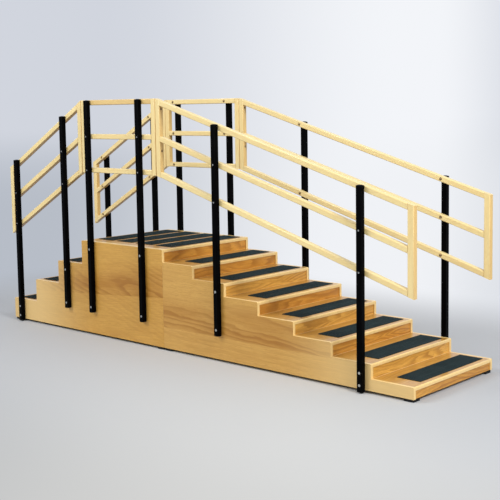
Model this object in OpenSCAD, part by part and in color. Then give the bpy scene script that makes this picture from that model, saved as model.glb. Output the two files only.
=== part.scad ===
// Two-sided training staircase: a gentle flight and a steep flight climb to one platform,
// with a timber handrail frame along both sides of each stretch, bolted to square steel posts.
// X runs along the stairs towards the gentle flight, -Y is the front, Z is up from the floor.
// The origin is on the floor, under the middle of the whole staircase.

/* [Staircase] */
// Height of the platform's deck above the floor
deck_h = 609.6; // [500:1:700]
// Length of the platform
platform_l = 762; // [700:1:1000]
// Width over the side panels
stair_w = 762; // [740:1:1000]
// Depth of every tread, nose to nose
run = 254; // [240:1:320]
// Number of treads in the gentle flight
gentle_treads = 7; // [5:1:9]
// Number of treads in the steep flight
steep_treads = 3; // [2:1:5]
// Thickness of the panels, treads and risers
board_t = 18; // [12:1:22]
// Radius of the rounded noses
nose_r = 7; // [3:1:10]
// How far the risers and the platform's end panel stand back under their noses
riser_setback = 5; // [0:1:8]

/* [Feet and battens] */
// Side of a square rubber foot
foot_w = 60; // [40:1:80]
// Thickness of a rubber foot
foot_t = 15; // [8:1:20]
// How far a foot sits in from the panel's face
foot_inset = 4; // [0:1:10]
// Side of the square battens under the treads
batten = 20; // [15:1:25]
// Depth of the bearers under the platform's deck
bearer_h = 45; // [20:5:90]
// Number of bearers under the platform's deck
bearers = 2; // [1:1:4]
// Depth of the groove where the two units meet
seam_groove = 2; // [1:0.5:4]

/* [Rubber strips] */
// Length of a strip, across the stairs
strip_l = 610; // [450:1:620]
// Width of a strip, along the stairs
strip_w = 142; // [110:1:150]
// Thickness of a strip, ribs included
strip_t = 3; // [2.5:0.5:5]
// Height of the ribs that run along a strip
rib_h = 1; // [0.5:0.25:1.5]
// Width of a rib at its foot
rib_w = 3.2; // [2:0.1:3.5]
// Number of ribs across a strip
ribs = 24; // [8:1:26]
// Distance from a nose to its strip
strip_nose_gap = 35; // [15:1:45]
// Margin beside the strips, on the left of someone who climbs towards the platform
strip_left_gap = 114; // [25:1:120]
// Number of strips on the platform
platform_strips = 4; // [2:1:4]

/* [Posts] */
// Side of a square post
post_w = 32; // [25:1:40]
// Wall thickness of a post
post_wall = 2; // [1.5:0.5:4]
// Height of the domed plug that closes each end of a post
cap_t = 6; // [5:1:10]
// Distance from the steep flight's foot to its outer post
steep_foot_to_post = 102; // [60:1:200]
// Distance from the platform to the steep flight's upper post
steep_top_to_post = 140; // [80:1:200]
// Distance from the platform's steep end to its first post
deck_left_to_post = 114; // [80:1:200]
// Distance from the platform's gentle end to its second post
deck_right_to_post = 165; // [80:1:200]
// Distance from the platform to the gentle flight's upper post
gentle_top_to_post = 470; // [200:1:600]
// Distance from the gentle flight's foot to its outer post
gentle_foot_to_post = 305; // [100:1:400]
// Height of an outer post's lower end above the floor
outer_post_lift = 4; // [2:1:20]
// Height of an inner post's lower end above the floor
inner_post_lift = 152; // [60:1:180]

/* [Handrail frames] */
// Height of the top rail's upper edge above the deck
rail_over_deck = 900; // [800:1:950]
// Height of a frame from its top edge to its bottom edge
frame_h = 457; // [350:1:550]
// Depth of a rail, on its broad face
rail_h = 32; // [25:1:45]
// Width of a stile, on its broad face
stile_w = 38; // [30:1:50]
// Thickness of the rails and stiles
rail_t = 32; // [25:1:40]
// Radius along the edges of the rails and stiles
rail_edge_r = 5; // [2:1:8]
// Distance from the platform's ends to the joints between the frames
frame_joint_in = 33; // [20:1:60]
// Gap between neighbouring frames
frame_gap = 2; // [1:0.5:5]
// Fall of the steep flight's handrail from end to end
steep_rail_fall = 448; // [380:1:500]

/* [Hidden] */
$fn = 32;
sides = ["front", "back"];
stretches = ["steep", "platform", "gentle"];

slack = 1;
cap_tongue = 15;
cap_edge = 1;
rib_draft = 0.6;
strip_corner_r = 3;
foot_corner_r = 6;
post_corner_r = 3;
batten_rear_gap = 20;
batten_nose_gap = 90;

oak = [0.85, 0.66, 0.38];
pale_oak = [0.93, 0.80, 0.55];
riser_oak = [0.78, 0.55, 0.27];
black_paint = [0.07, 0.07, 0.08];
rubber_black = [0.12, 0.15, 0.18];

gentle_rise = deck_h / (gentle_treads + 1);
steep_rise = deck_h / (steep_treads + 1);
gentle_l = gentle_treads * run;
steep_l = steep_treads * run;
overall_l = steep_l + platform_l + gentle_l;

// The platform's two ends, and the two feet of the stairs, along X
deck_x0 = steep_l - overall_l / 2;
deck_x1 = deck_x0 + platform_l;
foot_x0 = -overall_l / 2;
foot_x1 = overall_l / 2;

// The outer faces of the side panels, and the room between them, across Y
front_y = -stair_w / 2;
inner_w = stair_w - 2 * board_t;
inner_y = front_y + board_t;

// The handrail's top edge: level over the platform, falling along each flight
rail_top = deck_h + rail_over_deck;
joint_x0 = deck_x0 + frame_joint_in;
joint_x1 = deck_x1 - frame_joint_in;
steep_slope = steep_rail_fall / (joint_x0 - foot_x0);
gentle_slope = gentle_rise / run;

post_x = [
    foot_x0 + steep_foot_to_post,
    deck_x0 - steep_top_to_post,
    deck_x0 + deck_left_to_post,
    deck_x1 - deck_right_to_post,
    deck_x1 + gentle_top_to_post,
    foot_x1 - gentle_foot_to_post
];
outer_posts = [1, 6];

// A plug's head falls from its full height in the middle to cap_edge at the corners
cap_dome = cap_t - cap_edge;
cap_dome_r = (pow(post_w, 2) / 2 + pow(cap_dome, 2)) / (2 * cap_dome);

function tread_top(flight, k) = k * (flight == "steep" ? steep_rise : gentle_rise);
// Where the nose of tread k, counted from the floor, lies along X
function nose_x(flight, k) =
    flight == "steep" ? foot_x0 + (k - 1) * run : foot_x1 - (k - 1) * run;
// +1 where the flight's noses face +X, -1 where they face -X
function facing(flight) = flight == "steep" ? -1 : 1;
// Where the near side of a flight's strips lies along Y
function strip_y(flight) =
    facing(flight) > 0 ? front_y + strip_left_gap : -front_y - strip_left_gap - strip_l;
function rail_edge_z(x) =
    rail_top - steep_slope * max(0, joint_x0 - x) - gentle_slope * max(0, x - joint_x1);
function post_foot(k) = k == outer_posts[0] || k == outer_posts[1] ? outer_post_lift : inner_post_lift;

// ---- Shared shapes ----

// Extrudes an outline drawn in X and Z across the stairs, from y to y + width
module across(y, width) {
    translate([0, y + width, 0]) rotate([90, 0, 0]) linear_extrude(width) children();
}

// Outline of a board or block in X and Z, with its upper corners rounded where asked
module nosed_outline(x0, x1, z0, z1, left = false, right = false) {
    difference() {
        translate([x0, z0]) square([x1 - x0, z1 - z0]);
        if (right) corner_waste(x1 - nose_r, z1 - nose_r, 1);
        if (left) corner_waste(x0 + nose_r, z1 - nose_r, -1);
    }
}

// What is planed off an upper corner to leave a round nose
module corner_waste(x, z, side) {
    translate([x, z]) mirror([side < 0 ? 1 : 0, 0]) difference() {
        square(nose_r + slack);
        circle(nose_r);
    }
}

module rounded_square(w, d, r) {
    union() {
        translate([r, 0]) square([w - 2 * r, d]);
        translate([0, r]) square([w, d - 2 * r]);
        for (x = [r, w - r]) for (y = [r, d - r]) translate([x, y]) circle(r);
    }
}

function side_y(side) = side == "front" ? front_y : -front_y - board_t;

// ---- Panels ----

// One side of the steep unit: a step outline under the steep flight and the platform
module steep_side(side) {
    color(oak) difference() {
        across(side_y(side), board_t) {
            for (k = [1:steep_treads])
                nosed_outline(nose_x("steep", k), deck_x1, foot_t, tread_top("steep", k), left = true);
            nosed_outline(deck_x0, deck_x1, foot_t, deck_h, left = true, right = true);
        }
        seam_cut(side, tread_top("gentle", gentle_treads));
    }
}

// One side of the gentle unit, which butts against the steep unit
module gentle_side(side) {
    color(oak) difference() {
        across(side_y(side), board_t)
            for (k = [1:gentle_treads])
                nosed_outline(deck_x1, nose_x("gentle", k), foot_t, tread_top("gentle", k), right = true);
        seam_cut(side, deck_h);
    }
}

// V groove down the joint between the two units, up to the given height
module seam_cut(side, top) {
    g = seam_groove;
    translate([deck_x1, side == "front" ? front_y : -front_y, -slack])
        linear_extrude(top + slack) polygon([[-g, 0], [0, g], [g, 0], [0, -g]]);
}

// Panel between the sides that closes the steep unit, and shows above the gentle flight
module platform_end() {
    color(riser_oak)
        translate([deck_x1 - riser_setback - board_t, inner_y, foot_t])
            cube([board_t, inner_w, deck_h - board_t - foot_t]);
}

module gentle_end() {
    color(riser_oak)
        translate([deck_x1, inner_y, foot_t])
            cube([board_t, inner_w, tread_top("gentle", gentle_treads) - board_t - foot_t]);
}

module platform_deck() {
    color(pale_oak)
        across(inner_y, inner_w)
            nosed_outline(deck_x0, deck_x1, deck_h - board_t, deck_h, left = true, right = true);
}

// ---- Treads and risers ----

// A tread runs back under the riser behind it, or up to the platform's end panel
module tread(flight, k) {
    top = tread_top(flight, k);
    nose = nose_x(flight, k);
    tucked = riser_setback + (flight == "gentle" && k == gentle_treads ? 0 : board_t);
    rear = nose - facing(flight) * (run + tucked);
    color(pale_oak)
        across(inner_y, inner_w)
            nosed_outline(
                min(nose, rear), max(nose, rear), top - board_t, top,
                left = facing(flight) < 0, right = facing(flight) > 0
            );
}

// The board behind nose k, from the tread below it up to its own tread
module riser(flight, k) {
    below = k == 1 ? foot_t : tread_top(flight, k - 1);
    x = nose_x(flight, k) + (facing(flight) > 0 ? -riser_setback - board_t : riser_setback);
    translate([x, inner_y, below])
        cube([board_t, inner_w, tread_top(flight, k) - board_t - below]);
}

module steep_risers() {
    color(riser_oak) for (k = [1:steep_treads + 1]) riser("steep", k);
}

module gentle_risers() {
    color(riser_oak) for (k = [1:gentle_treads]) riser("gentle", k);
}

// ---- Rubber strips ----

// Cross-section of a strip: a flat back, and ribs with sloped sides on top
function rib_points(x) = [
    [x, strip_t - rib_h],
    [x + rib_draft, strip_t],
    [x + rib_w - rib_draft, strip_t],
    [x + rib_w, strip_t - rib_h]
];

module ribbed_outline() {
    pitch = strip_w / ribs;
    polygon(concat(
        [[0, 0]],
        [for (i = [0:ribs - 1]) each rib_points((i + 0.5) * pitch - rib_w / 2)],
        [[strip_w, 0]]
    ));
}

// Strip with its near corner at x and y, lying on the tread at height z
module strip(x, y, z) {
    intersection() {
        translate([x, y, z - slack])
            linear_extrude(strip_t + 2 * slack) rounded_square(strip_w, strip_l, strip_corner_r);
        across(y, strip_l) translate([x, z]) ribbed_outline();
    }
}

module flight_strips(flight, treads) {
    from_nose = facing(flight) > 0 ? -strip_nose_gap - strip_w : strip_nose_gap;
    color(rubber_black) for (k = [1:treads])
        strip(nose_x(flight, k) + from_nose, strip_y(flight), tread_top(flight, k));
}

module deck_strips() {
    pitch = (platform_l - 2 * strip_nose_gap - strip_w) / (platform_strips - 1);
    color(rubber_black) for (i = [0:platform_strips - 1])
        strip(deck_x0 + strip_nose_gap + i * pitch, strip_y("gentle"), deck_h);
}

// ---- Posts ----

function post_y(side) = side == "front" ? front_y - post_w : -front_y;

// Square tube, open at both ends for its caps
module post(side, k) {
    foot = post_foot(k) + cap_t;
    color(black_paint)
        translate([post_x[k - 1] - post_w / 2, post_y(side), foot])
            linear_extrude(rail_edge_z(post_x[k - 1]) - cap_t - foot) difference() {
                rounded_square(post_w, post_w, post_corner_r);
                translate([post_wall, post_wall]) square(post_w - 2 * post_wall);
            }
}

// Plug with a domed head and a tongue that fills the tube's mouth, drawn with its head up
module post_cap() {
    tongue_w = post_w - 2 * post_wall;
    translate([-post_w / 2, -post_w / 2, 0]) {
        intersection() {
            linear_extrude(cap_t) rounded_square(post_w, post_w, post_corner_r);
            translate([post_w / 2, post_w / 2, cap_t - cap_dome_r]) sphere(cap_dome_r);
        }
        translate([post_wall, post_wall, -cap_tongue]) cube([tongue_w, tongue_w, cap_tongue]);
    }
}

module post_caps() {
    color(black_paint) for (side = sides) for (k = [1:len(post_x)]) {
        x = post_x[k - 1];
        y = post_y(side) + post_w / 2;
        translate([x, y, rail_edge_z(x) - cap_t]) post_cap();
        translate([x, y, post_foot(k) + cap_t]) mirror([0, 0, 1]) post_cap();
    }
}

// ---- Handrail frames ----

function stretch_x0(stretch) =
    stretch == "steep" ? foot_x0
    : stretch == "platform" ? joint_x0 + frame_gap / 2
    : joint_x1 + frame_gap / 2;
function stretch_x1(stretch) =
    stretch == "steep" ? joint_x0 - frame_gap / 2
    : stretch == "platform" ? joint_x1 - frame_gap / 2
    : foot_x1;
function stretch_slope(stretch) =
    stretch == "steep" ? -steep_slope : stretch == "platform" ? 0 : gentle_slope;
function rail_y(side) = side == "front" ? front_y : -front_y - rail_t;

// Puts children in a frame that starts on the handrail's top edge and runs along it
module along_top_edge(stretch) {
    translate([stretch_x0(stretch), 0, rail_edge_z(stretch_x0(stretch))])
        rotate([0, atan(stretch_slope(stretch)), 0])
            children();
}

// Three bars with eased edges that follow the slope, cut plumb between the stiles
module rails(side, stretch) {
    level = cos(atan(stretch_slope(stretch)));
    pitch = (frame_h * level - rail_h) / 2;
    x0 = stretch_x0(stretch) + stile_w;
    x1 = stretch_x1(stretch) - stile_w;
    color(pale_oak) translate([0, rail_y(side), 0]) intersection() {
        along_top_edge(stretch)
            for (i = [0:2])
                translate([-frame_h, 0, -i * pitch])
                    rotate([0, 90, 0])
                        linear_extrude((x1 - x0) / level + 2 * frame_h + rail_h)
                            rounded_square(rail_h, rail_t, rail_edge_r);
        translate([x0, -slack, 0]) cube([x1 - x0, rail_t + 2 * slack, rail_top + slack]);
    }
}

// Upright at a frame's end, its top and bottom cut to the slope
module stile(side, stretch, x) {
    level = cos(atan(stretch_slope(stretch)));
    color(pale_oak) translate([0, rail_y(side), 0]) intersection() {
        translate([x, 0, 0]) linear_extrude(rail_top + slack) rounded_square(stile_w, rail_t, rail_edge_r);
        along_top_edge(stretch)
            translate([-frame_h, -slack, -frame_h * level])
                cube([gentle_l + 2 * frame_h, rail_t + 2 * slack, frame_h * level]);
    }
}

module stiles(side) {
    for (stretch = stretches) {
        stile(side, stretch, stretch_x0(stretch));
        stile(side, stretch, stretch_x1(stretch) - stile_w);
    }
}

// ---- Battens and feet ----

// The four corners of each unit: its end along X, and the way in from that end
unit_ends = [[foot_x0, 1], [deck_x1, -1], [deck_x1, 1], [foot_x1, -1]];

module foot(x, inward, y, inward_y) {
    near_x = min(x + inward * foot_inset, x + inward * (foot_inset + foot_w));
    near_y = min(y + inward_y * foot_inset, y + inward_y * (foot_inset + foot_w));
    translate([near_x, near_y, 0])
        linear_extrude(foot_t) rounded_square(foot_w, foot_w, foot_corner_r);
}

module feet() {
    color(rubber_black) for (end = unit_ends) {
        foot(end[0], end[1], front_y, 1);
        foot(end[0], end[1], -front_y, -1);
    }
}

// Block in each corner, over its foot, and a batten under both ends of each tread
module battens() {
    block = foot_w - board_t - riser_setback;
    block_h = gentle_rise - board_t - foot_t;
    color(oak) {
        for (end = unit_ends) for (y = [inner_y, -inner_y - block])
            translate([min(end[0] + end[1] * foot_w, end[0] + end[1] * (foot_w - block)), y, foot_t])
                cube([block, block, block_h]);
        for (k = [1:gentle_treads]) tread_battens("gentle", k);
        for (k = [1:steep_treads]) tread_battens("steep", k);
        deck_bearers();
    }
}

// Bearers on edge across the underside of the deck, with short battens beside them at the panels
module deck_bearers() {
    pitch = platform_l / (bearers + 1);
    for (i = [1:bearers])
        translate([deck_x0 + i * pitch - batten / 2, inner_y, deck_h - board_t - bearer_h])
            cube([batten, inner_w, bearer_h]);
    for (i = [0:bearers]) for (y = [inner_y, -inner_y - batten])
        translate([deck_x0 + i * pitch + batten_rear_gap + batten / 2, y, deck_h - board_t - batten])
            cube([pitch - 2 * batten_rear_gap - batten, batten, batten]);
}

module tread_battens(flight, k) {
    batten_l = run - batten_rear_gap - batten_nose_gap;
    front_end = nose_x(flight, k) - facing(flight) * batten_nose_gap;
    x = min(front_end, front_end - facing(flight) * batten_l);
    for (y = [inner_y, -inner_y - batten])
        translate([x, y, tread_top(flight, k) - board_t - batten]) cube([batten_l, batten, batten]);
}

for (side = sides) {
    steep_side(side);
    gentle_side(side);
    stiles(side);
    for (k = [1:len(post_x)])
        post(side, k);
    for (stretch = stretches)
        rails(side, stretch);
}
for (k = [1:steep_treads])
    tread("steep", k);
for (k = [1:gentle_treads])
    tread("gentle", k);
platform_end();
gentle_end();
platform_deck();
steep_risers();
gentle_risers();
flight_strips("steep", steep_treads);  // steep_strips
deck_strips();  // platform_strips
flight_strips("gentle", gentle_treads);  // gentle_strips
post_caps();
battens();
feet();
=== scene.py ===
# %% [markdown]
# # A two-sided training staircase
#
# The timber and steel shapes of this staircase come from an engineering model, already cut to size.
# This lesson dresses them: lacquered oak on the panels and steps, pale timber on the handrails,
# black powder coat on the posts, ribbed rubber underfoot, and the bolts that hold it together.
# Every length is in metres. X runs along the stairs, Y across them, and Z up from the floor.

# %% Load the staircase
import math

import bmesh
import bpy
from mathutils import Matrix, Vector


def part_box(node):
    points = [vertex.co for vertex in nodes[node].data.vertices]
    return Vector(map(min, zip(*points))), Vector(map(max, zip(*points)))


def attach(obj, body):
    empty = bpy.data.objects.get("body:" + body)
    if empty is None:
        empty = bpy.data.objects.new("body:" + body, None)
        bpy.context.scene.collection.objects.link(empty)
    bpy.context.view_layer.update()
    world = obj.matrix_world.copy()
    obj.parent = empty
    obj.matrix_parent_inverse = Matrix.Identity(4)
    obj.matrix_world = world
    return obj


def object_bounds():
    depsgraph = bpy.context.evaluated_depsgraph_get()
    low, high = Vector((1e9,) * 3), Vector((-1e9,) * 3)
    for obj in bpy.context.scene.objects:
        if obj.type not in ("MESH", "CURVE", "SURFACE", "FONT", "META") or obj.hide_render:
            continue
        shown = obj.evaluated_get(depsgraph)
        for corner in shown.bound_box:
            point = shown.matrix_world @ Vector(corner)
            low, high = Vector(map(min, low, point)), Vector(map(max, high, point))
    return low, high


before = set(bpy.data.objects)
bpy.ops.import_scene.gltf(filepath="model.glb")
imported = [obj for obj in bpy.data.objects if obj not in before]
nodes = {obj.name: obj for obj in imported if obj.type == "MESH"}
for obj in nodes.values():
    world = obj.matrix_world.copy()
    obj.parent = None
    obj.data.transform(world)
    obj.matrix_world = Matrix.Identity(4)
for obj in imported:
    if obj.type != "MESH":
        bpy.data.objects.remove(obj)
low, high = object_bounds()
print("pieces from the workshop model:", len(nodes))
print("overall size:", [round(b - a, 3) for a, b in zip(low, high)])

# %% [markdown]
# ## Small helpers for shader nodes
#
# A material is a network of nodes. Writing each one by hand takes four or five lines, so these
# helpers keep the recipes short: one adds a node and fills its sockets, a few do arithmetic, one
# mixes two colours, and the rest are small networks that come back again and again. A value may be a
# plain number or the output of another node.

# %% Node helpers
def add_node(tree, kind, settings=None, **values):
    made = tree.nodes.new("ShaderNode" + kind)
    for name, value in (settings or {}).items():
        setattr(made, name, value)
    fill_all(tree, made, **values)
    return made


def fill_all(tree, node, **values):
    for name, value in values.items():
        fill(tree, node.inputs[name.replace("_", " ")], value)


def fill(tree, socket, value):
    if isinstance(value, bpy.types.NodeSocket):
        tree.links.new(value, socket)
    else:
        socket.default_value = value


def calc(tree, operation, *values, clamp=False):
    made = add_node(tree, "Math", {"operation": operation, "use_clamp": clamp})
    for socket, value in zip(made.inputs, values):
        fill(tree, socket, value)
    return made.outputs[0]


print("helpers that fill nodes are ready")

# %% Arithmetic and mixing helpers
def times(tree, first, second):
    return calc(tree, "MULTIPLY", first, second)


def plus(tree, first, second):
    return calc(tree, "ADD", first, second)


def minus(tree, first, second):
    return calc(tree, "SUBTRACT", first, second)


def hypotenuse(tree, first, second):
    return calc(tree, "SQRT", plus(tree, times(tree, first, first), times(tree, second, second)))


def mix_colours(tree, share, first, second, how="MIX"):
    made = add_node(tree, "Mix", {"data_type": "RGBA", "blend_type": how})
    colour_in = [s for s in made.inputs if s.type == "RGBA"]
    fill(tree, made.inputs[0], share)
    fill(tree, colour_in[0], first)
    fill(tree, colour_in[1], second)
    return [s for s in made.outputs if s.type == "RGBA"][0]


def tint(tree, share, colour, tone):
    """Multiplies a colour by a tone where the share says so, as a stain does; it lays deeper boards and
    painted shade.
    """
    return mix_colours(tree, share, colour, mix_colours(tree, 1.0, colour, tone, "MULTIPLY"))


print("arithmetic helpers ready")

# %% Ramps, noise and colours
def ramp(tree, value, low_in, high_in, low_out=0.0, high_out=1.0):
    """A smooth slope from one number to another while the value goes from low_in to high_in."""
    limits = {"From_Min": low_in, "From_Max": high_in, "To_Min": low_out, "To_Max": high_out}
    made = add_node(tree, "MapRange", {"interpolation_type": "SMOOTHSTEP"}, Value=value, **limits)
    return made.outputs["Result"]


def noise(tree, place, scale, detail=2.0, stretch=(1, 1, 1)):
    stretched = add_node(tree, "VectorMath", {"operation": "MULTIPLY"})
    fill(tree, stretched.inputs[0], place)
    stretched.inputs[1].default_value = stretch
    made = add_node(tree, "TexNoise", Scale=scale, Detail=detail, Vector=stretched.outputs[0])
    return made.outputs["Fac"]


def toss(tree, number):
    """A random value from 0 to 1 that stays the same for the same number."""
    return add_node(tree, "TexWhiteNoise", {"noise_dimensions": "1D"}, W=number).outputs["Value"]


def split(tree, vector):
    return add_node(tree, "SeparateXYZ", Vector=vector).outputs


def dot(tree, first, second):
    made = add_node(tree, "VectorMath", {"operation": "DOT_PRODUCT"})
    fill(tree, made.inputs[0], first)
    fill(tree, made.inputs[1], second)
    return made.outputs["Value"]


def paint(red, green, blue):
    """Turns a colour as screens name it, from 0 to 255, into the linear light that shaders use."""
    def linear(c):
        c = c / 255
        return c / 12.92 if c <= 0.04045 else ((c + 0.055) / 1.055) ** 2.4
    return (linear(red), linear(green), linear(blue), 1.0)


print("ramp, noise, toss and paint ready")

# %% [markdown]
# ## Node groups
#
# An effect that several materials share is built once, as a node group, with named sockets that each
# material fills with its own values. The groups here put out only masks, which are numbers that
# change over the surface. The shader itself always stays in the material.

# %% Group helpers
def new_group(name, inputs, outputs):
    tree = bpy.data.node_groups.new(name, "ShaderNodeTree")
    for socket, (kind, default) in inputs.items():
        made = tree.interface.new_socket(socket, in_out="INPUT", socket_type="NodeSocket" + kind)
        if default is not None:
            made.default_value = default
    for socket in outputs:
        tree.interface.new_socket(socket, in_out="OUTPUT", socket_type="NodeSocketFloat")
    return tree, tree.nodes.new("NodeGroupInput").outputs, tree.nodes.new("NodeGroupOutput").inputs


def use_group(tree, group, **values):
    return add_node(tree, "Group", {"node_tree": group}, **values).outputs


print("group helpers ready")

# %% [markdown]
# ## How oak gets its figure
#
# A plain-sawn board is a flat slice through a tree that is a stack of rings. Where the slice runs
# close to the heart, the rings come up as long pointed arches, and towards its edges as straight
# lines. A flat noise picture can't do that, so this group copies the tree: it measures how far each
# point of the board lies from a wandering heart line, and counts rings on that distance.
# Wide panels are laid from several leaves of veneer, so the heart starts again in each leaf.
#
# Four sockets steer the heart. Heart moves it off the middle of the leaf, Lean lets it drift sideways
# along the board, Bend says how much it wanders, and Dive takes it deeper under the surface towards
# one end, where the figure then grows broad and calm. Boards that lie at different depths in the
# tree get different slices, so the two sides of the staircase aren't copies of each other.

# %% Build the oak figure group
SEED_STEP = 37.0  # how far one seed is from the next in the noise
LEAVES_APART = 90.0  # the stretch of tree, in metres, that the leaves are taken from
figure_group, g_in, g_out = new_group(
    "Oak figure",
    {
        "Place": ("Vector", None),
        "Leaf width": ("Float", 0.2),
        "Leaf start": ("Float", 0.0),
        "Ring spacing": ("Float", 0.008),
        "Bend": ("Float", 1.0),
        "Heart": ("Float", 0.0),
        "Lean": ("Float", 0.0),
        "Dive": ("Float", 0.0),
        "Dive start": ("Float", 0.0),
        "Dive end": ("Float", 1.0),
        "Seed": ("Float", 0.0),
    },
    ["Rings", "Figure", "Fibre", "Pores", "Leaf"],
)
t = figure_group
along, across, deep = split(t, g_in["Place"])
seed = times(t, g_in["Seed"], SEED_STEP)
count = calc(t, "DIVIDE", minus(t, across, g_in["Leaf start"]), g_in["Leaf width"])
leaf = calc(t, "FLOOR", count)
off_middle = minus(t, calc(t, "FRACT", count), 0.5)
in_leaf = times(t, off_middle, g_in["Leaf width"])
leaf_random = toss(t, plus(t, leaf, seed))
down_the_tree = plus(t, along, times(t, leaf_random, LEAVES_APART))
print("leaves laid out")

# %% The heart line
SWAY, DEPTH = 0.26, 0.16  # how far the heart wanders, sideways and down
SLICES_A_METRE, SLICE_RANGE = 3.1, 0.05  # how often the slice starts again, and how deep it goes
slow_place = add_node(t, "CombineXYZ", X=down_the_tree, Y=leaf, Z=seed).outputs[0]
heart_sway = times(t, minus(t, noise(t, slow_place, 1.7, 1.0), 0.5), SWAY)
heart_depth = times(t, noise(t, slow_place, 1.3, 1.0, (1, 3, 3)), DEPTH)
heart = plus(t, g_in["Heart"], times(t, along, g_in["Lean"]))
side = plus(t, minus(t, in_leaf, heart), times(t, heart_sway, g_in["Bend"]))
slice_turn = calc(t, "FRACT", times(t, deep, SLICES_A_METRE))
slice_depth = times(t, slice_turn, SLICE_RANGE)
dive = ramp(t, along, g_in["Dive start"], g_in["Dive end"], g_in["Dive"], 0.0)
down = plus(t, slice_depth, times(t, heart_depth, g_in["Bend"]))
radius = hypotenuse(t, side, plus(t, down, dive))
print("the heart sways and dives")

# %% The rings round it
RIPPLE = 1.6  # ripples shift a point by up to half this many rings
own_place = add_node(t, "CombineXYZ", X=down_the_tree, Y=plus(t, across, seed), Z=deep).outputs[0]
ripple_noise = noise(t, own_place, 1.0, 3.0, (5, 26, 26))
ripple = times(t, minus(t, ripple_noise, 0.5), RIPPLE)
ring_count = plus(t, calc(t, "DIVIDE", radius, g_in["Ring spacing"]), ripple)
ring = calc(t, "FRACT", ring_count)
ring_weight = toss(t, calc(t, "FLOOR", ring_count))
line = times(t, ramp(t, ring, 0.0, 0.14), ramp(t, ring, 0.2, 0.85, 1.0, 0.0))
rings = times(t, line, ramp(t, ring_weight, -0.4, 0.9))
print("each ring is a sharp line that fades")

# %% Fibre, pores and slow figure
FIBRE_GRAIN, FIGURE_GRAIN, PORE_GRAIN = (7, 240, 240), (1.3, 11, 11), (26, 800, 800)
fibre = noise(t, own_place, 1.0, 3.0, FIBRE_GRAIN)
broad = noise(t, own_place, 1.0, 2.0, FIGURE_GRAIN)
pores = ramp(t, noise(t, own_place, 1.0, 1.0, PORE_GRAIN), 0.56, 0.66)
fill(t, g_out["Rings"], rings)
fill(t, g_out["Figure"], ramp(t, broad, 0.3, 0.7))
fill(t, g_out["Fibre"], ramp(t, fibre, 0.25, 0.75))
fill(t, g_out["Pores"], times(t, pores, minus(t, 1.0, rings)))
fill(t, g_out["Leaf"], leaf_random)
print("oak figure nodes:", len(t.nodes))

# %% [markdown]
# ## Edges with a painted highlight
#
# The Bevel node gives the normal that a rounded corner would have. Where it differs from
# the true normal there is an edge, and the difference is a ready mask. It follows the shape by itself,
# so nothing has to be painted by hand. The wood, the powder coat, the plugs and the bolt heads use it
# to paint their corners lighter, as a painted highlight. The powder coat also turns a little glossier
# there, and on the rubber the mask marks scuffed corners.

# %% Build the edge group
edge_group, g_in, g_out = new_group("Soft edge", {"Reach": ("Float", 0.004)}, ["Edge"])
t = edge_group
rounded = add_node(t, "Bevel", {"samples": 4}, Radius=g_in["Reach"]).outputs["Normal"]
agreement = dot(t, rounded, add_node(t, "NewGeometry").outputs["Normal"])
fill(t, g_out["Edge"], ramp(t, agreement, 0.98, 0.75))
print("edge group nodes:", len(t.nodes))

# %% [markdown]
# ## Handling marks
#
# A surface that people use is never evenly glossy. This group gives one slow cloud, for lacquer that
# flowed a little thicker here and there, and one fine speckle, for dust and rubbing. In lacquer both go
# to roughness, where the eye notices them only as the reflections break up. In paint, rubber and metal
# the speckle does that, and the cloud shifts the colour a little.

# %% Build the handling group
CLOUD_SCALE, SPECKLE_SCALE = 7.0, 420.0
marks_group, g_in, g_out = new_group(
    "Handling marks", {"Place": ("Vector", None), "Size": ("Float", 1.0)}, ["Cloud", "Speckle"]
)
t = marks_group
sized = add_node(t, "VectorMath", {"operation": "SCALE"}, Vector=g_in["Place"], Scale=g_in["Size"]).outputs[0]
fill(t, g_out["Cloud"], ramp(t, noise(t, sized, CLOUD_SCALE, 3.0), 0.3, 0.7))
fill(t, g_out["Speckle"], ramp(t, noise(t, sized, SPECKLE_SCALE, 2.0), 0.35, 0.75))
print("handling group nodes:", len(t.nodes))

# %% [markdown]
# ## What every material starts with
#
# Each material of the stairs is one Principled shader. It takes its place from the object's own
# coordinates, so the grain stays on the piece, and asks the two groups for their masks. At the end it
# gets a low bump, because even a smooth finish has a skin.

# %% Material helpers
def fresh_material(name):
    made = bpy.data.materials.new(name)
    made.use_nodes = True
    made.node_tree.nodes.clear()
    shader = add_node(made.node_tree, "BsdfPrincipled")
    add_node(made.node_tree, "OutputMaterial", Surface=shader.outputs[0])
    return made, made.node_tree, shader


def object_place(tree):
    return add_node(tree, "TexCoord").outputs["Object"]


def wear_and_highlight_masks(tree, place, mark_size, edge_reach):
    marks = use_group(tree, marks_group, Place=place, Size=mark_size)
    return marks, use_group(tree, edge_group, Reach=edge_reach)["Edge"]


def add_bump(tree, shader, height, strength, distance):
    bump = add_node(tree, "Bump", Strength=strength, Distance=distance, Height=height)
    fill(tree, shader.inputs["Normal"], bump.outputs[0])


print("material helpers ready")

# %% [markdown]
# ## One recipe for every timber
#
# The panels, risers, treads, rails and battens are all made of wood. They differ in which way the
# grain runs, in tone, and in how bold the figure is. So one function builds them all.
# Grain must run along each board: the table says which axis is along, across and through.
# A rail that climbs with the stairs is turned by its slope first, or its grain would run out of it.
# The gloss is a coat: a clear layer with its own reflection over a rougher wood. Some boards have one
# more thing of their own, such as a pale lipping, so the recipe takes an extra step to lay over it.

# %% Which way the grain runs, and where it is bold
GRAIN = {
    "along the stairs": ("X", "Z", "Y"),
    "across the tread": ("Y", "X", "Z"),
    "across the riser": ("Y", "Z", "X"),
    "upright": ("Z", "X", "Y"),
}
PLAIN_BELOW, PLAIN_ABOVE = 0.3, 0.15  # what is left of the figure outside the bold leaf
BOLD_RISE = 0.03  # how far up the leaf its figure starts to fade


def grain_place(tree, place, grain):
    axes = split(tree, place)
    return add_node(tree, "CombineXYZ", **{s: axes[a] for s, a in zip("XYZ", GRAIN[grain])}).outputs[0]


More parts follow.
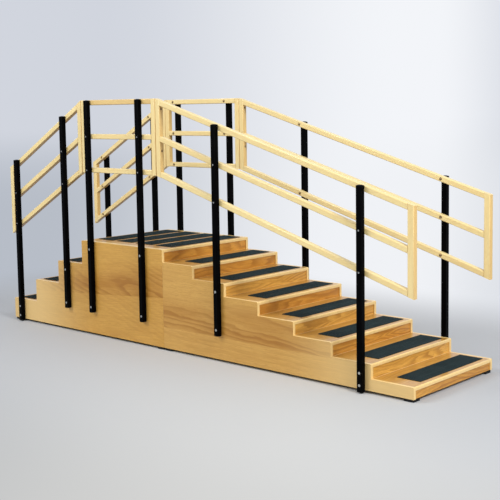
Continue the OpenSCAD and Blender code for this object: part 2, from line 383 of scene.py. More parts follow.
def bold_mask(tree, place, foot, top):
    height = split(tree, place)["Z"]
    starting = ramp(tree, height, foot - 0.004, foot + 0.002, PLAIN_BELOW, 1.0)
    fading = ramp(tree, height, foot + BOLD_RISE, top, 1.0, PLAIN_ABOVE)
    return times(tree, starting, fading)


print("grain directions:", list(GRAIN))

# %% The colour of a board
def oak_colour(tree, oak, figure, rings, edge, tones, fibre_share, pore_share):
    pale, deep_tone, streak = tones
    colour = mix_colours(tree, figure, pale, deep_tone)
    colour = mix_colours(tree, rings, colour, streak)
    # The edge mask paints the corners paler: a painted highlight.
    for mask, share, tone in ((oak["Fibre"], fibre_share, streak), (oak["Pores"], pore_share, streak),
                              (oak["Leaf"], 0.2, deep_tone), (edge, 0.5, pale)):
        colour = mix_colours(tree, times(tree, mask, share), colour, tone)
    return colour


def lacquer(tree, shader, oak, marks, rough, coat, coat_rough):
    wear = plus(tree, times(tree, oak["Fibre"], 0.08), times(tree, marks["Cloud"], 0.06))
    wear = plus(tree, wear, times(tree, marks["Speckle"], 0.04))
    fill_all(tree, shader, Roughness=plus(tree, wear, rough), Specular_IOR_Level=0.3)
    fill_all(tree, shader, Coat_Weight=coat, Coat_Roughness=coat_rough, Coat_IOR=1.4)
    height = minus(tree, times(tree, oak["Fibre"], 0.25), oak["Pores"])
    add_bump(tree, shader, height, strength=0.35, distance=0.0002)


print("board colour and lacquer ready")

# %% The timber recipe
def timber(name, grain, pale, deep_tone, streak, leaf_width=0.2, leaf_start=None, ring_spacing=0.009,
           bend=1.0, heart=(0.0, 0.0), dive=(0.0, 0.0, 1.0), bold_leaf=None, slope=0.0, ring_share=0.5,
           figure_share=0.5, fibre_share=0.25, pore_share=0.4, coat=0.5, coat_rough=0.2, rough=0.42,
           seed=0.0, matched=False, extra=None):
    made, tree, shader = fresh_material(name)
    place = object_place(tree)
    if slope:
        turning = {"rotation_type": "Y_AXIS"}
        place = add_node(tree, "VectorRotate", turning, Vector=place, Angle=math.atan(slope)).outputs[0]
    board_seed = seed
    if not matched:
        island = add_node(tree, "NewGeometry").outputs["Random Per Island"]
        own = add_node(tree, "ObjectInfo").outputs["Random"]
        board_seed = plus(tree, plus(tree, island, own), seed)
    start = times(tree, board_seed, leaf_width) if leaf_start is None else leaf_start
    oak = use_group(tree, figure_group, Place=grain_place(tree, place, grain), Leaf_width=leaf_width,
                    Leaf_start=start, Ring_spacing=ring_spacing, Bend=bend, Heart=heart[0], Lean=heart[1],
                    Dive=dive[0], Dive_start=dive[1], Dive_end=dive[2], Seed=board_seed)
    marks, edge = wear_and_highlight_masks(tree, place, 1.0, 0.004)
    figure = times(tree, oak["Figure"], figure_share)
    rings = times(tree, oak["Rings"], ring_share)
    if bold_leaf:
        bold = bold_mask(tree, place, *bold_leaf)
        figure = times(tree, plus(tree, figure, 0.4), bold)
        rings = times(tree, rings, bold)
    colour = oak_colour(tree, oak, figure, rings, edge, (pale, deep_tone, streak), fibre_share, pore_share)
    if extra:
        colour = extra(tree, place, colour)
    fill(tree, shader.inputs["Base Color"], colour)
    lacquer(tree, shader, oak, marks, rough, coat, coat_rough)
    return made


print("timber recipe ready")

# %% [markdown]
# ## Slopes taken from the model
#
# The handrails climb with each flight. Their slope is read from the tops of two neighbouring posts,
# because every post ends level with the rail beside it. Reading it here, and not typing it in, keeps
# the grain true to the rails if the staircase is ever made steeper.

# %% Measure the slopes
def top_of(node):
    box_low, box_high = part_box(node)
    return (box_low.x + box_high.x) / 2, box_high.z


def slope_between(first, second):
    (x0, z0), (x1, z1) = top_of(first), top_of(second)
    return (z1 - z0) / (x1 - x0)


steep_slope = slope_between("post_front_1", "post_front_2")
gentle_slope = slope_between("post_front_5", "post_front_6")
print("handrail slopes:", round(steep_slope, 3), "and", round(gentle_slope, 3))

# %% [markdown]
# ## Lippings
#
# The edges of plywood show its plies, so a joiner glues a thin strip of solid pale oak over them: a
# lipping. On a side panel it lies on every face that doesn't look front or back, so the direction of
# the surface is the mask. On a tread it is a band along the nose, so the mask is the distance behind
# the nose. The deck has such a band at both its noses and along its two sides.
# All treads of a flight share one material, so the distance is counted from the foot of the flight
# and starts again at each step. The panels are painted paler towards their far ends, as painted light.

# %% Sizes for the lippings
LIPPING, LIPPING_LINE = paint(250, 220, 154), paint(234, 194, 122)
# The paler tone for the panels' ends is painted light.
PAINTED_END_LIGHT = paint(238, 206, 142)
NOSING = 0.007  # width of the lipping that shows on a tread
NUDGE = 0.0005  # so that the very nose isn't taken for the end of the step before
SHARP = 0.001  # the width over which one wood gives way to another
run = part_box("gentle_tread_1")[1].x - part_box("gentle_tread_2")[1].x
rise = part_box("gentle_tread_2")[1].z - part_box("gentle_tread_1")[1].z
deck_low, deck_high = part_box("platform_deck")
print("going", round(run, 4), " rise", round(rise, 4))

# %% Masks for the panels and the noses
def turned_to(tree, axis):
    return split(tree, add_node(tree, "NewGeometry").outputs["Normal"])[axis]


def from_middle(tree, place, axis):
    return calc(tree, "ABSOLUTE", split(tree, place)[axis])


def lay_lipping(tree, place, colour, mask):
    grain = noise(tree, place, 1.0, 2.0, (60, 60, 60))
    return mix_colours(tree, mask, colour, mix_colours(tree, grain, LIPPING, LIPPING_LINE))


def panel_lipping_and_light(tree, place, colour):
    # Painted light: the panels are painted paler towards their far ends.
    painted_light_at_ends = ramp(tree, from_middle(tree, place, "X"), 0.75, 1.45, 0.0, 0.7)
    colour = mix_colours(tree, painted_light_at_ends, colour, PAINTED_END_LIGHT)
    on_edge = ramp(tree, calc(tree, "ABSOLUTE", turned_to(tree, "Y")), 0.75, 0.45)
    return lay_lipping(tree, place, colour, on_edge)


def behind_step_nose(tree, x, foot, way):
    walked = plus(tree, times(tree, minus(tree, foot, x), way), NUDGE)
    return times(tree, calc(tree, "FRACT", calc(tree, "DIVIDE", walked, run)), run)


def behind_deck_nose(tree, x, x_low, x_high):
    return calc(tree, "MINIMUM", minus(tree, x, x_low), minus(tree, x_high, x))


def nose_finish(distance, *ends, side_lipping=0.0):
    def lay(tree, place, colour):
        behind = distance(tree, split(tree, place)["X"], *ends)
        lipped = ramp(tree, behind, NOSING + SHARP, NOSING)
        if side_lipping:
            inside = deck_high.y - side_lipping
            at_side = ramp(tree, from_middle(tree, place, "Y"), inside - SHARP, inside)
            lipped = calc(tree, "MAXIMUM", lipped, at_side)
        return lay_lipping(tree, place, colour, lipped)
    return lay


print("lipping steps ready")

# %% [markdown]
# ## Boards that differ in tone, and painted shade
#
# No two boards take lacquer alike, and a few differences catch the eye. The undersides of the rails
# are painted deeper, as painted shade. The narrow sides of their uprights are deeper, as edge grain
# often is. The front rail at the top of the landing is one deeper board.
# The risers were cut from two sheets of veneer, a golden one and a redder one. Which sheet a riser came
# from is a coin tossed on its step's number, which is its height divided by the rise. PICK chooses
# the row of tosses.

# %% Tone steps for rails, uprights and risers, with painted shade under the rails
# The underside tone is painted shade for the rails' undersides; the other tones belong to the boards.
UNDERSIDE_SHADE, NARROW_SIDE, LANDING_BOARD = paint(196, 180, 160), paint(239, 224, 205), paint(240, 229, 214)
REDDER_SHEET = paint(240, 222, 194)
PICK = 15026.0
TOP_RAIL = 0.04  # the landing's top rail is this far down from the very top, at most


# Painted shade: the faces of a rail that look down are painted deeper.
def painted_underside_shade(tree, place, colour):
    return tint(tree, ramp(tree, turned_to(tree, "Z"), -0.4, -0.75), colour, UNDERSIDE_SHADE)


def deeper_narrow_sides(tree, place, colour):
    narrow = ramp(tree, calc(tree, "ABSOLUTE", turned_to(tree, "X")), 0.45, 0.75)
    return tint(tree, narrow, colour, NARROW_SIDE)


# A deeper board tone on the landing's front top rail, and painted shade on the rails' undersides.
def landing_rail_tone_and_shade(tree, place, colour):
    axes = split(tree, place)
    top_rail = ramp(tree, axes["Z"], high.z - TOP_RAIL - 0.01, high.z - TOP_RAIL)
    in_front = ramp(tree, axes["Y"], 0.05, -0.05)
    toned = tint(tree, times(tree, top_rail, in_front), colour, LANDING_BOARD)
    return painted_underside_shade(tree, place, toned)


def two_sheets(step_rise):
    def lay(tree, place, colour):
        step = calc(tree, "FLOOR", calc(tree, "DIVIDE", split(tree, place)["Z"], step_rise))
        redder = ramp(tree, toss(tree, plus(tree, step, PICK)), 0.75, 0.15, 0.0, 0.85)
        return tint(tree, redder, colour, REDDER_SHEET)
    return lay


print("tone steps ready")

# %% [markdown]
# ## The timbers
#
# Golden oak veneer on the side panels, warmer oak on the risers, lighter oak on the treads, and a
# straw-coloured close-grained wood for the handrails. The tones are picked so that they look right in
# plain white light, and the lights add nothing but light.
# Each unit's panels are laid from leaves that run its whole length, and only one of them has a bold
# figure. On the steep unit it lies over a plain one and climbs a little to one end. On the gentle
# unit it starts just under the second tread. The two panels of a unit are matched, so they get no
# random seed of their own.

# %% Make the panel and riser timbers
BOLD_FOOT = 0.326  # height of the joint between the steep unit's leaves, in mid-staircase
panel_tones = dict(streak=paint(146, 88, 14), ring_share=0.66, bend=0.25, extra=panel_lipping_and_light, matched=True)
panel_woods = {
    "steep": timber("panel oak steep", "along the stairs", paint(224, 176, 86), paint(182, 126, 44),
                    slope=0.068, leaf_width=0.36, leaf_start=BOLD_FOOT, bold_leaf=(BOLD_FOOT, 0.58),
                    heart=(-0.286, -0.368), dive=(0.07, -0.95, -0.1), ring_spacing=0.03, seed=0.31,
                    **panel_tones),
    "gentle": timber("panel oak gentle", "along the stairs", paint(223, 178, 96), paint(186, 133, 54),
                     leaf_width=5 * rise, leaf_start=1.9 * rise, bold_leaf=(1.9 * rise, 5.5 * rise),
                     heart=(0.02, -0.05), dive=(0.05, -0.2, 1.2), ring_spacing=0.026, seed=0.77,
                     **panel_tones),
}
riser_woods = {
    flight: timber(f"riser oak {flight}", "across the riser", paint(242, 191, 92), paint(212, 154, 62),
                   paint(146, 86, 18), leaf_width=0.3, ring_spacing=0.014, ring_share=0.6,
                   figure_share=0.6, seed=seed, extra=two_sheets(step_rise))
    for flight, step_rise, seed in (("gentle", rise, 0.3), ("steep", 2 * rise, 0.5))
}
print("panels and risers:", [m.name for m in (*panel_woods.values(), *riser_woods.values())])

# %% Make the tread, rail and batten timbers
tread_noses = {
    "gentle": (0.6, nose_finish(behind_step_nose, high.x, 1)),
    "steep": (0.5, nose_finish(behind_step_nose, low.x, -1)),
    "platform": (0.35, nose_finish(behind_deck_nose, deck_low.x, deck_high.x, side_lipping=0.02)),
}
tread_woods = {
    flight: timber(f"tread oak {flight}", "across the tread", paint(210, 160, 72), paint(192, 138, 50),
                   paint(154, 100, 32), leaf_width=0.15, ring_spacing=0.01, seed=0.6, coat=coat,
                   coat_rough=0.12, rough=0.38, extra=nose)
    for flight, (coat, nose) in tread_noses.items()
}
rail_tones = dict(pale=paint(249, 228, 165), deep_tone=paint(239, 208, 140), streak=paint(210, 164, 94),
                  leaf_width=0.09, ring_spacing=0.006, ring_share=0.16, figure_share=0.4,
                  fibre_share=0.08, pore_share=0.15, seed=0.8, coat=0.7, coat_rough=0.15)
rail_kinds = {
    "steep": ("steep", steep_slope, painted_underside_shade),
    "platform": ("level", 0.0, landing_rail_tone_and_shade),
    "gentle": ("gentle", gentle_slope, painted_underside_shade),
}
rail_woods = {
    flight: timber(f"rail wood {kind}", "along the stairs", slope=slope, extra=extra, **rail_tones)
    for flight, (kind, slope, extra) in rail_kinds.items()
}
stile_wood = timber("stile wood", "upright", extra=deeper_narrow_sides, **rail_tones)
batten_wood = timber("batten wood", "along the stairs", paint(206, 172, 116), paint(184, 146, 90),
                     paint(150, 110, 62), coat=0.0, rough=0.6, seed=0.1)
print("timbers:", [m.name for m in bpy.data.materials if "oak" in m.name or "wood" in m.name])

# %% [markdown]
# ## Black powder coat
#
# The posts are steel tube with a baked black powder finish. Powder melts into a skin with a very
# fine orange-peel texture, so its highlights are soft. A small bump from fine noise makes the peel, and
# the corners are a little glossier where they have been rubbed. A lighter black is painted along the
# corners too, as a painted highlight.

# %% Make the powder coat
PEEL_SCALE = 900.0
powder_coat, tree, shader = fresh_material("black powder coat")
place = object_place(tree)
marks, edge = wear_and_highlight_masks(tree, place, 1.5, 0.0025)
black = mix_colours(tree, marks["Cloud"], paint(1, 1, 2), paint(4, 4, 5))
# Painted highlight: a lighter, bluish black along the corners.
black = mix_colours(tree, times(tree, edge, 0.4), black, paint(18, 19, 21))
rub = plus(tree, times(tree, marks["Speckle"], 0.1), times(tree, edge, -0.1))
fill_all(tree, shader, Base_Color=black, Roughness=plus(tree, rub, 0.4), Specular_IOR_Level=0.03)
add_bump(tree, shader, noise(tree, place, PEEL_SCALE, 2.0), strength=0.25, distance=0.0002)
print("made", powder_coat.name)

# %% [markdown]
# ## Moulded plastic plugs
#
# The plugs in the ends of the posts are black moulded plastic. Next to the powder coat they are a
# touch greyer and duller, with the fine matt skin that a textured mould leaves.

# %% Make the plug plastic
MOULD_SCALE = 1500.0
plug_plastic, tree, shader = fresh_material("plug plastic")
place = object_place(tree)
marks, edge = wear_and_highlight_masks(tree, place, 2.0, 0.002)
grey = mix_colours(tree, marks["Cloud"], paint(8, 8, 9), paint(13, 13, 14))
# Painted highlight: the plugs' corners are painted a lighter grey.
grey = mix_colours(tree, times(tree, edge, 0.6), grey, paint(34, 34, 36))
dull = plus(tree, times(tree, marks["Speckle"], 0.12), 0.5)
fill_all(tree, shader, Base_Color=grey, Roughness=dull, Specular_IOR_Level=0.12)
add_bump(tree, shader, noise(tree, place, MOULD_SCALE, 1.0), strength=0.3, distance=0.0002)
print("made", plug_plastic.name)

# %% [markdown]
# ## Rubber for the strips and the feet
#
# Tread rubber is dark with a blue-green cast, and it greys where shoes have scuffed it. The scuffs
# run as short faint streaks across the stairs, and the speckle keeps its shine uneven.

# %% Make the rubber materials
SCUFF_GRAIN = (60, 5, 60)  # scuffs are long across the stairs, where this number is small


def rubber(name, dark, scuffed, scuff_share):
    made, tree, shader = fresh_material(name)
    place = object_place(tree)
    marks, edge = wear_and_highlight_masks(tree, place, 1.2, 0.0015)
    streaks = ramp(tree, noise(tree, place, 1.0, 3.0, SCUFF_GRAIN), 0.45, 0.75)
    worn = times(tree, calc(tree, "ADD", streaks, edge, clamp=True), scuff_share)
    colour = mix_colours(tree, worn, dark, scuffed)
    colour = mix_colours(tree, times(tree, marks["Cloud"], 0.25), colour, scuffed)
    dull = plus(tree, times(tree, marks["Speckle"], 0.15), 0.6)
    fill_all(tree, shader, Base_Color=colour, Roughness=dull, Specular_IOR_Level=0.14)
    add_bump(tree, shader, marks["Speckle"], strength=0.3, distance=0.0003)
    return made


ribbed_rubber = rubber("ribbed rubber", paint(17, 33, 36), paint(42, 60, 62), 0.5)
foot_rubber = rubber("foot rubber", paint(22, 22, 23), paint(52, 51, 49), 0.35)
print("made", ribbed_rubber.name, "and", foot_rubber.name)

# %% [markdown]
# ## Dress the workshop pieces
#
# Each piece from the model keeps its shape and gets a material. The model's corners are perfectly
# sharp, and a sharp corner never catches the light. A Weld modifier joins the faces up, and a Bevel
# modifier then breaks each corner by about a millimetre, as sandpaper does. Only the ribbed strips go
# without: their ribs are moulded with sloped sides. Modifiers leave the model's own mesh alone.

# %% A material and a corner for every kind of piece
PLAIN_KINDS = (
    ("stiles_", stile_wood, 0.0012), ("post_caps", plug_plastic, 0.0012), ("post_", powder_coat, 0.0004),
    ("feet", foot_rubber, 0.0015),
)


def material_and_corner(node):
    unit = node.split("_")[0]
    if node.startswith(("steep_side", "gentle_side")):
        return panel_woods[unit], 0.0012
    if node.endswith("risers") or node in ("platform_end", "gentle_end"):
        return riser_woods["steep" if node == "steep_risers" else "gentle"], 0.0008
    if "_tread_" in node or node == "platform_deck":
        return tread_woods[unit], 0.0008
    if node.startswith("rails_"):
        return rail_woods[node.rsplit("_", 1)[1]], 0.0006
    if node.endswith("_strips"):
        return ribbed_rubber, None
    for start, material, corner in PLAIN_KINDS:
        if node.startswith(start):
            return material, corner
    return batten_wood, 0.001


print("plain kinds:", len(PLAIN_KINDS))

# %% Assign materials and break the corners
WELD_DISTANCE = 0.00002
SHARPEST_KEPT = math.radians(35)  # a corner that turns less than this is left as it is


def dress(node, material, corner):
    piece = nodes[node]
    for slot in piece.material_slots:
        slot.material = material
    weld = piece.modifiers.new("join faces", "WELD")
    weld.merge_threshold = WELD_DISTANCE
    if corner:
        bevel = piece.modifiers.new("broken corners", "BEVEL")
        bevel.width, bevel.segments = corner, 2
        bevel.limit_method, bevel.angle_limit = "ANGLE", SHARPEST_KEPT
        bevel.harden_normals = True


for node in sorted(nodes):
    dress(node, *material_and_corner(node))
print("dressed", len(nodes), "pieces")

# %% [markdown]
# ## Shapes for the bolts
#
# Every post is bolted through the rails beside it and through the side panel. A bolt head is a body
# of revolution with a six-sided socket sunk in it, so it is drawn as a stack of rings, one inside the
# next, joined by strips of faces. A ring is round, or it follows a hexagon: both have the same number
# of points, so the two kinds join up. Each end is closed by a fan of triangles round a middle point.
# Drawing the rings in code keeps every head crisp and light.

# %% A stack of rings
RING_POINTS = 24


def ring_points(centre, axis, depth, radius, six_sided):
    side = axis.orthogonal().normalized()
    other = axis.cross(side)
    for i in range(RING_POINTS):
        turn = 2 * math.pi * i / RING_POINTS
        reach = radius
        if six_sided:
            reach *= math.cos(math.pi / 6) / math.cos(turn % (math.pi / 3) - math.pi / 6)
        yield centre + axis * depth + (side * math.cos(turn) + other * math.sin(turn)) * reach


def stack_rings(form, centre, axis, rings):
    """Joins rings of (height along the axis, radius, six-sided or not) into one closed solid."""
    loops = [[form.verts.new(p) for p in ring_points(centre, axis, *ring)] for ring in rings]
    ends = [form.faces.new(reversed(loops[0])), form.faces.new(loops[-1])]
    for first, second in zip(loops, loops[1:]):
        for i in range(RING_POINTS):
            j = (i + 1) % RING_POINTS
            form.faces.new((first[i], first[j], second[j], second[i]))
    bmesh.ops.poke(form, faces=ends)


print("points in a ring:", RING_POINTS)

# %% From a form to a piece
def put_in_scene(name, data):
    made = bpy.data.objects.new(name, data)
    bpy.context.scene.collection.objects.link(made)
    return made


def piece_from(form, name):
    mesh = bpy.data.meshes.new(name)
    form.to_mesh(mesh)
    form.free()
    return put_in_scene(name, mesh)


def make_piece(name, build, *places):
    form = bmesh.new()
    for place in places:
        build(form, *place)
    bmesh.ops.recalc_face_normals(form, faces=form.faces)
    return piece_from(form, name)


print("piece helpers ready")

# %% [markdown]
# ## Where the bolts go
#
# The rails are spaced evenly down each handrail frame, and a post crosses them at heights that follow
# from its own top: every post ends level with the top rail. A sloping rail is taller when measured
# straight up, because that line crosses it at an angle. Through the panel there are two bolts: one near
# the post's foot and one just under the step, whose height is found from the treads' own boxes.

# %% Heights of the bolts on each post
SIDES = {"front": -1, "back": 1}  # which way is outward along Y
POSTS = range(1, 7)  # counted from the steep end
RAIL_DEPTH = 0.032
UNDER_STEP, OVER_FOOT = 0.047, 0.038  # from a panel bolt to the step above it, and to the post's foot
frame_low, frame_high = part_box("rails_front_platform")
frame_depth = frame_high.z - frame_low.z
cap_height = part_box("post_caps")[1].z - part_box("post_front_3")[1].z
slope_at = {1: steep_slope, 2: steep_slope, 3: 0.0, 4: 0.0, 5: gentle_slope, 6: gentle_slope}
steps = [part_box(n) for n in nodes if "_tread_" in n or n == "platform_deck"]


def step_height(x):
    return max(top.z for bottom, top in steps if bottom.x <= x <= top.x)


def post_middle(side, k):
    bottom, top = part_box(f"post_{side}_{k}")
    return (bottom.x + top.x) / 2


def face(box_low, box_high, way):
    return box_high.y if way > 0 else box_low.y


def rail_heights(side, k):
    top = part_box(f"post_{side}_{k}")[1].z + cap_height
    plumb = RAIL_DEPTH * math.sqrt(1 + slope_at[k] ** 2)
    pitch = (frame_depth - plumb) / 2
    return [top - plumb / 2 - i * pitch for i in range(3)]


def panel_heights(side, k):
    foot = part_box(f"post_{side}_{k}")[0].z - cap_height
    return [step_height(post_middle(side, k)) - UNDER_STEP, foot + OVER_FOOT]


for k in POSTS:
    print("post", k, "rails", [round(z, 3) for z in rail_heights("front", k)],
          "panel", [round(z, 3) for z in panel_heights("front", k)])

# %% [markdown]
# ## Flush bolt heads in the posts
#
# On the outside of each post the heads are countersunk, so that no one catches a sleeve. The hole is a
# real one: a Boolean modifier cuts a shallow cone out of the tube, and the head sits in it with its face
# a hair below the steel. The cut comes last in the post's modifiers, so its rim stays crisp. The cutters
# are ordinary meshes, hidden from the render. The panel bolts are larger than those in the middle and
# low rails, and the top rail is bolted from inside only. Bright zinc against black paint makes these
# small heads read as points of light.

# %% Cut the sinkings and fill them with heads
PANEL_HEAD, RAIL_HEAD, SINK = 0.0074, 0.005, 0.0026  # two head radii, and the depth of the sinking


def cutter_cone(form, centre, out, head):
    stack_rings(form, centre, out, [(-SINK - 0.0002, head - 0.0022, False), (0.001, head + 0.0012, False)])


def flush_head(form, centre, out, head):
    stack_rings(form, centre, out, [
        (-SINK - 0.004, head - 0.0024, False), (-SINK, head - 0.0024, False),
        (-0.0007, head - 0.0003, False), (-0.0003, head - 0.0006, False),
        (-0.0003, head * 0.45, True), (-0.0006, head * 0.4, True), (-0.0021, head * 0.4, True),
    ])


flush_heads = []
for side, outward in SIDES.items():
    for k in POSTS:
        y = face(*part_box(f"post_{side}_{k}"), outward)
        sizes = [(z, RAIL_HEAD) for z in rail_heights(side, k)[1:]]
        sizes += [(z, PANEL_HEAD) for z in panel_heights(side, k)]
        spots = [(Vector((post_middle(side, k), y, z)), Vector((0, outward, 0)), head) for z, head in sizes]
        cutter = make_piece(f"sinkings_{side}_{k}", cutter_cone, *spots)
        cutter.hide_render = cutter.hide_viewport = True
        cut = nodes[f"post_{side}_{k}"].modifiers.new("sinkings", "BOOLEAN")
        cut.operation, cut.object, cut.solver = "DIFFERENCE", cutter, "EXACT"
        flush_heads += spots

post_bolts = make_piece("post_bolt_heads", flush_head, *flush_heads)
print("flush heads:", len(flush_heads))

# %% [markdown]
# ## Domed heads and nuts inside
#
# The other ends of the bolts show on the inner faces of the rails, as round brown heads on washers. On
# the inner faces of the panels they end in nuts, which only someone who looks up from below will see.
# Where two handrail frames meet, two bolts run through both uprights.

# %% Shapes of the domed heads and nuts
WASHER, NUT_WASHER = 0.0085, 0.0095  # radii


def domed_head(form, centre, out, size=1.0):
    stack_rings(form, centre, out, [(height * size, radius * size, six) for height, radius, six in (
        (0.0, WASHER, False), (0.0011, WASHER, False), (0.0013, 0.0082, False), (0.0013, 0.0066, False),
        (0.0024, 0.0064, False), (0.0036, 0.0052, False), (0.0041, 0.0038, False), (0.0041, 0.0026, True),
        (0.0021, 0.0024, True),
    )])


def nut_on_washer(form, centre, out):
    stack_rings(form, centre, out, [
        (0.0, NUT_WASHER, False), (0.0014, NUT_WASHER, False), (0.0014, 0.0068, True), (0.006, 0.0068, True),
        (0.0066, 0.0058, True), (0.0066, 0.004, False), (0.009, 0.004, False), (0.0095, 0.0034, False),
    ])


print("washer radii:", WASHER, NUT_WASHER)

# %% Place the domed heads, nuts and frame bolts
STILE_WIDTH, FRAME_GAP = 0.038, 0.001  # the gap is half of the space between two frames
FRAME_HEAD = 0.85  # the size of a frame bolt, next to a rail bolt's
UNDER_TOP = (0.063, 0.31)  # how far down an upright its two bolts sit

rail_spots, nut_spots, frame_spots = [], [], []
for side, outward in SIDES.items():
    inward = Vector((0, -outward, 0))
    rail_low, rail_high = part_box(f"rails_{side}_platform")
    rail_face = face(rail_low, rail_high, -outward)
    panel_face = face(*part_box(f"steep_side_{side}"), -outward)
    for k in POSTS:
        x = post_middle(side, k)
        rail_spots += [(Vector((x, rail_face, z)), inward) for z in rail_heights(side, k)]
        nut_spots += [(Vector((x, panel_face, z)), inward) for z in panel_heights(side, k)]
    y = (rail_low.y + rail_high.y) / 2
    reach = STILE_WIDTH + FRAME_GAP
    for joint in (rail_low.x - reach, rail_high.x + reach):
        for drop in UNDER_TOP:
            for end in (-1, 1):
                spot = Vector((joint + end * reach, y, rail_high.z - drop))
                frame_spots.append((spot, Vector((end, 0, 0)), FRAME_HEAD))

rail_bolts = make_piece("rail_bolt_heads", domed_head, *rail_spots)
frame_bolts = make_piece("frame_bolt_heads", domed_head, *frame_spots)
panel_nuts = make_piece("panel_nuts", nut_on_washer, *nut_spots)
print("domed heads, frame heads, nuts:", len(rail_spots), len(frame_spots), len(nut_spots))

# %% [markdown]
# ## Two metals for the bolts
#
# Zinc plate is bright with a faint cloudy pattern. The heads inside are bronzed steel, brown and a
# little duller. Both are metals, so their colour is the colour of their reflection.

# %% Make the bolt metals and fit them
def bolt_metal(name, bright, dull, rough):
    made, tree, shader = fresh_material(name)
    marks, edge = wear_and_highlight_masks(tree, object_place(tree), 18.0, 0.0006)
    tone = mix_colours(tree, marks["Cloud"], bright, dull)
    # Painted highlight: the edges of the heads are painted brighter.
    tone = mix_colours(tree, times(tree, edge, 0.5), tone, bright)
    worn = plus(tree, times(tree, marks["Speckle"], 0.1), rough)
    fill_all(tree, shader, Base_Color=tone, Roughness=worn, Metallic=1.0)
    add_bump(tree, shader, marks["Speckle"], strength=0.15, distance=0.0001)
    return made


zinc = bolt_metal("zinc plate", paint(206, 207, 204), paint(176, 178, 177), 0.36)
bronzed = bolt_metal("bronzed steel", paint(172, 146, 110), paint(144, 120, 88), 0.38)
fittings = {post_bolts: zinc, rail_bolts: bronzed, frame_bolts: bronzed, panel_nuts: zinc}
for piece, metal in fittings.items():
    piece.data.materials.append(metal)
    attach(piece, "root")
print("fitted", [p.name for p in fittings])

# %% [markdown]
# ## The paper behind the stairs
#
# A studio hangs a roll of paper that curves from the wall onto the floor, so there is no horizon. It
# isn't one flat tone: here it is a cool grey behind the steep flight and nearly white behind the gentle
# one. Instead of a modelled curve, this group turns a place on the floor, or a direction in the room,
# into four masks. Back says whether it lies behind the stairs, and Far how far behind. Bright marks the
# bright side at the back, and Front the one before the stairs: both compare how far to the right a
# place lies with how far off it is. The floor and the world share the group, so they agree where they
# meet. Softening keeps the masks calm near the stairs.

# %% Build the paper group
TO_THE_RIGHT, TO_THE_BACK = (0.739, 0.674, 0.0), (-0.674, 0.739, 0.0)
NEAREST, FAR_OFF = 0.05, 25.0  # the least distance to divide by, and where a place is half way out
FRONT_SOFTENING = 4.0
paper_group, g_in, g_out = new_group(
    "Paper tone", {"Place": ("Vector", None), "Softening": ("Float", 0.0)}, ["Bright", "Back", "Far", "Front"]
)
t = paper_group
sideways = dot(t, g_in["Place"], TO_THE_RIGHT)
behind = dot(t, g_in["Place"], TO_THE_BACK)
reach = calc(t, "MAXIMUM", plus(t, behind, g_in["Softening"]), NEAREST)
far = ramp(t, calc(t, "DIVIDE", reach, plus(t, reach, FAR_OFF)), 0.36, 0.8)
back_line = times(t, g_in["Softening"], 0.02)
fill(t, g_out["Far"], far)
fill(t, g_out["Back"], ramp(t, minus(t, behind, back_line), -0.9, 0.6))
print("Far and Back are ready")

# %% The bright sides
bright_side = calc(t, "DIVIDE", sideways, reach)
brightest = ramp(t, minus(t, bright_side, times(t, far, 0.04)), -0.19, 0.11)
past_brightest = ramp(t, bright_side, 0.18, 0.28, 0.0, 0.8)
dimming = times(t, past_brightest, plus(t, times(t, far, 0.6), 0.4))
fill(t, g_out["Bright"], times(t, brightest, minus(t, 1.0, dimming)))
distance = add_node(t, "VectorMath", {"operation": "LENGTH"}, Vector=g_in["Place"]).outputs["Value"]
front_side = calc(t, "DIVIDE", sideways, plus(t, distance, FRONT_SOFTENING))
front_dimming = ramp(t, front_side, 0.14, 0.26, 0.0, 0.2)
fill(t, g_out["Front"], minus(t, ramp(t, front_side, -0.25, 0.02), front_dimming))
print("paper nodes:", len(t.nodes))


def paper_colour(tree, masks, far):
    cool = mix_colours(tree, far, paint(183, 189, 199), paint(209, 213, 222))
    white = mix_colours(tree, far, paint(240, 242, 246), paint(243, 245, 249))
    behind = mix_colours(tree, masks["Bright"], cool, white)
    front = mix_colours(tree, masks["Front"], paint(190, 192, 194), paint(211, 211, 209))
    return mix_colours(tree, masks["Back"], front, behind)


# %% [markdown]
# ## The floor and the room
#
# The floor is the near end of the paper: a matt surface that takes the shadow. A short way outside the
# stairs' own outline it fades into the paper tone, but only for the camera, so that it still throws
# its soft light up at the stairs. The world is plain white where it lights things, and shows the
# paper tone to the camera and to glossy surfaces.

# %% Lay the floor
FLOOR_RADIUS = 120.0
middle = (low + high) / 2
half = (high - low) / 2

form = bmesh.new()
bmesh.ops.create_circle(form, cap_ends=True, segments=128, radius=FLOOR_RADIUS)
floor = piece_from(form, "studio_floor")
floor.location = (middle.x, middle.y, low.z)
print("floor at z =", round(floor.location.z, 4))

# %% Paint the floor
FLOOR_SOFTENING = 6.3
FADE_FROM, FADE_TO = 0.5, 2.0  # how far outside the stairs the floor fades


def past(tree, axis, end):
    return calc(tree, "MAXIMUM", minus(tree, calc(tree, "ABSOLUTE", axis), end), 0.0)


floor_paint, tree, shader = fresh_material("studio floor")
place = object_place(tree)
sideways = dot(tree, place, TO_THE_RIGHT)
tone = mix_colours(tree, ramp(tree, sideways, -2.2, 0.5), paint(173, 177, 184), paint(196, 197, 197))
# Painted shadow: the floor is painted darker beyond the gentle end of the stairs, for the soft shadow they
# cast there.
tone = mix_colours(tree, ramp(tree, sideways, 0.3, 1.6), tone, paint(182, 185, 190))
tone = mix_colours(tree, times(tree, noise(tree, place, 3.0, 2.0), 0.2), tone, paint(187, 189, 191))
fill_all(tree, shader, Base_Color=tone, Roughness=0.9, Specular_IOR_Level=0.1)

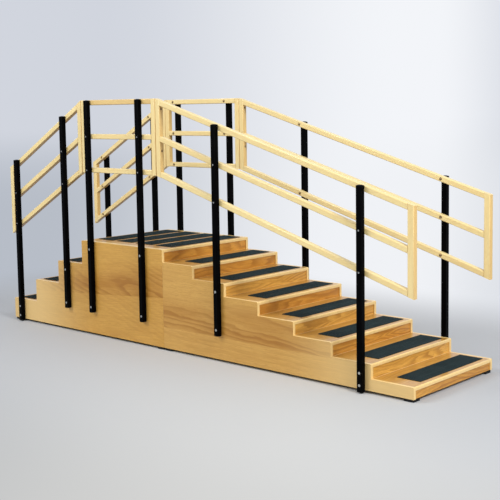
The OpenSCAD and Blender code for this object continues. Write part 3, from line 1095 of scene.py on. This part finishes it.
axes = split(tree, place)
outside = hypotenuse(tree, past(tree, axes["X"], half.x), past(tree, axes["Y"], half.y))
seen = add_node(tree, "LightPath").outputs["Is Camera Ray"]
fade = times(tree, ramp(tree, outside, FADE_FROM, FADE_TO), seen)
masks = use_group(tree, paper_group, Place=place, Softening=FLOOR_SOFTENING)
haze = add_node(tree, "Emission", Color=paper_colour(tree, masks, masks["Far"]), Strength=1.0)
both = add_node(tree, "MixShader", Fac=fade)
fill(tree, both.inputs[1], shader.outputs[0])
fill(tree, both.inputs[2], haze.outputs[0])
final = [n for n in tree.nodes if n.type == "OUTPUT_MATERIAL"][0]
tree.links.new(both.outputs[0], final.inputs[0])
floor.data.materials.append(floor_paint)
print("floor painted:", floor_paint.name)

# %% The world
ROOM_LIGHT = 0.62
VERY_FAR = 1000.0  # a direction counts as a place this many metres off
world = bpy.data.worlds.new("studio")
bpy.context.scene.world = world
world.use_nodes = True
tree = world.node_tree
tree.nodes.clear()
ray = add_node(tree, "LightPath").outputs
looked_at = calc(tree, "MAXIMUM", ray["Is Camera Ray"], ray["Is Glossy Ray"])
looked_at = calc(tree, "MAXIMUM", looked_at, ray["Is Transmission Ray"])
direction = add_node(tree, "TexCoord").outputs["Generated"]
far_place = add_node(tree, "VectorMath", {"operation": "SCALE"}, Vector=direction, Scale=VERY_FAR).outputs[0]
masks = use_group(tree, paper_group, Place=far_place, Softening=0.0)
lit = add_node(tree, "Background", Color=(1.0, 1.0, 1.0, 1.0), Strength=ROOM_LIGHT)
shown = add_node(tree, "Background", Color=paper_colour(tree, masks, 1.0), Strength=1.0)
both = add_node(tree, "MixShader", Fac=looked_at)
fill(tree, both.inputs[1], lit.outputs[0])
fill(tree, both.inputs[2], shown.outputs[0])
tree.links.new(both.outputs[0], add_node(tree, "OutputWorld").inputs["Surface"])
print("world ready")

# %% [markdown]
# ## Lights
#
# Two large soft panels do what a studio does. The key stands high on the left in front, so the side
# panels and the treads are bright and the undersides of the rails go warm and dark. The fill stands high
# on the right, and lights the treads and risers of the gentle flight. Bare lamps would throw hard
# shadows: a panel's size is what softens their edges.

# %% Place the soft lights
def soft_light(name, position, size, watts):
    data = bpy.data.lights.new(name, "AREA")
    data.shape, data.size, data.energy = "SQUARE", size, watts
    made = put_in_scene(name, data)
    made.location = position
    made.rotation_euler = (middle - Vector(position)).to_track_quat("-Z", "Y").to_euler()
    return made


key = soft_light("key light", (-2.6, -4.8, 4.6), 2.6, 198)
fill_light = soft_light("fill light", (6.6, -1.6, 5.5), 1.8, 370)
print("lights:", key.name, "and", fill_light.name)

# %% [markdown]
# ## The camera
#
# A long lens at about the height of the handrail keeps the uprights nearly parallel, as a furniture
# catalogue does. The lens is shifted down slightly, so that the camera needs less tilt and the posts
# lean less. Its turn is built from three plain angles: heading, pitch and a trace of roll.

# %% Set up the camera
HEADING, PITCH, ROLL = math.radians(42.37), math.radians(-5.6), math.radians(-0.88)
STANDPOINT = (4.363, -4.516, 1.437)
camera_data = bpy.data.cameras.new("catalogue camera")
camera_data.lens = 73.92
camera_data.sensor_width = 36.0
camera_data.shift_y = -0.08
camera = put_in_scene("catalogue camera", camera_data)
camera.matrix_world = (
    Matrix.Translation(STANDPOINT)
    @ Matrix.Rotation(HEADING, 4, "Z")
    @ Matrix.Rotation(math.radians(90) + PITCH, 4, "X")
    @ Matrix.Rotation(ROLL, 4, "Z")
)
bpy.context.scene.camera = camera
bpy.context.scene.view_settings.view_transform = "Standard"
print("camera at", [round(v, 3) for v in camera.location])
